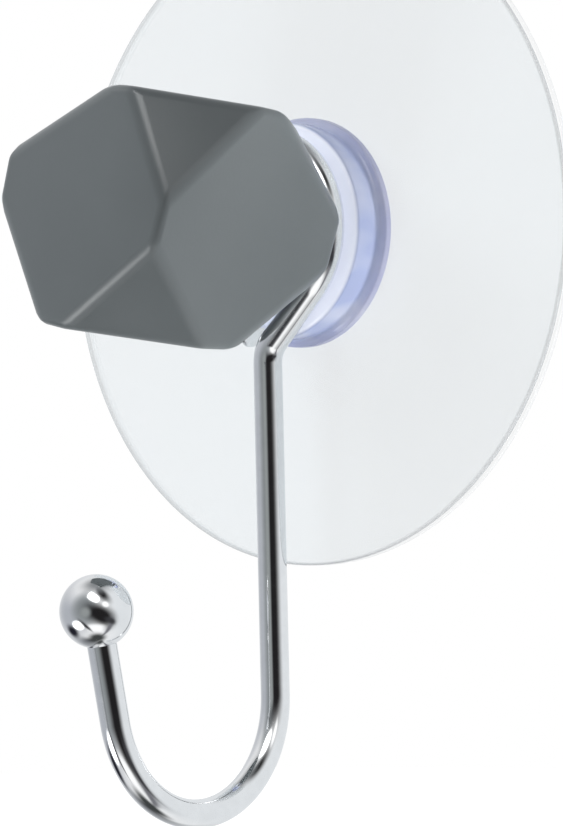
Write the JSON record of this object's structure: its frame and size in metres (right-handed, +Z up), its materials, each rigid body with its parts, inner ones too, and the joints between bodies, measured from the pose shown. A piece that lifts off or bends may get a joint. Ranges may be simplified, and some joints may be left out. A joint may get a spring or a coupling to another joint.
{
  "type": "adhesive hook",
  "caption": "Clear self-adhesive disc with a moulded boss, a swivelling ball-tipped wire J-hook and a faceted screw-on knob that holds the hook to the wall disc.",
  "frame": {"origin": "centre of the round disc's adhesive back face, which lies on the wall", "axes": "+Y points out of the adhesive face into the wall, +Z is up, the hook and knob stand out towards -Y"},
  "size_m": [0.07, 0.0373, 0.0967],
  "materials": {
    "adhesive": "clear tacky gel",
    "film": "clear glossy film",
    "clear_base": "clear moulded plastic with a faint blue tint",
    "chrome_wire": "bright chrome plated wire",
    "chrome_ball": "bright chrome plated ball",
    "grey_plastic": "satin grey moulded plastic"
  },
  "bodies": {
    "base": {"adhesive_layer": "adhesive", "film_disc": "film", "base": "clear_base", "knob": "grey_plastic"},
    "hook": {"wire_hook": "chrome_wire", "ball_tip": "chrome_ball"}
  },
  "joints": [
    {"name": "hook_swing", "type": "hinge", "parent": "base", "child": "hook", "pos_m": [0, -0.008, 0], "axis": [0, 1, 0], "continuous": true}
  ]
}
